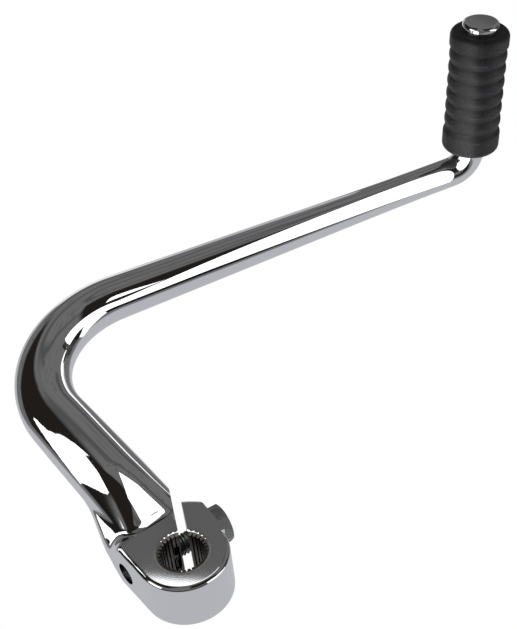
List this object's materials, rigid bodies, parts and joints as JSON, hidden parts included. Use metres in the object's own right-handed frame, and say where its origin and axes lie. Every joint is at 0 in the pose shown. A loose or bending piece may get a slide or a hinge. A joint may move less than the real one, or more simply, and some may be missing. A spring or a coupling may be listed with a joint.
{
  "type": "kick start lever",
  "caption": "Chromed kick start lever: splined split clamp boss with a clamp bolt, bent tapering round arm, and an upright peg with a ribbed rubber sleeve.",
  "frame": {"origin": "middle of the spline bore, on its axis", "axes": "+Z along the bore axis, out of the boss on the side where the peg stands; +X from the bore to the foot of the peg"},
  "size_m": [0.2543, 0.1326, 0.1136],
  "materials": {
    "chrome": "polished",
    "black_rubber": "matt",
    "zinc_plate": "dull plated"
  },
  "bodies": {
    "root": {"lever": "chrome", "peg_rubber": "black_rubber", "clamp_bolt": "zinc_plate"}
  },
  "joints": []
}
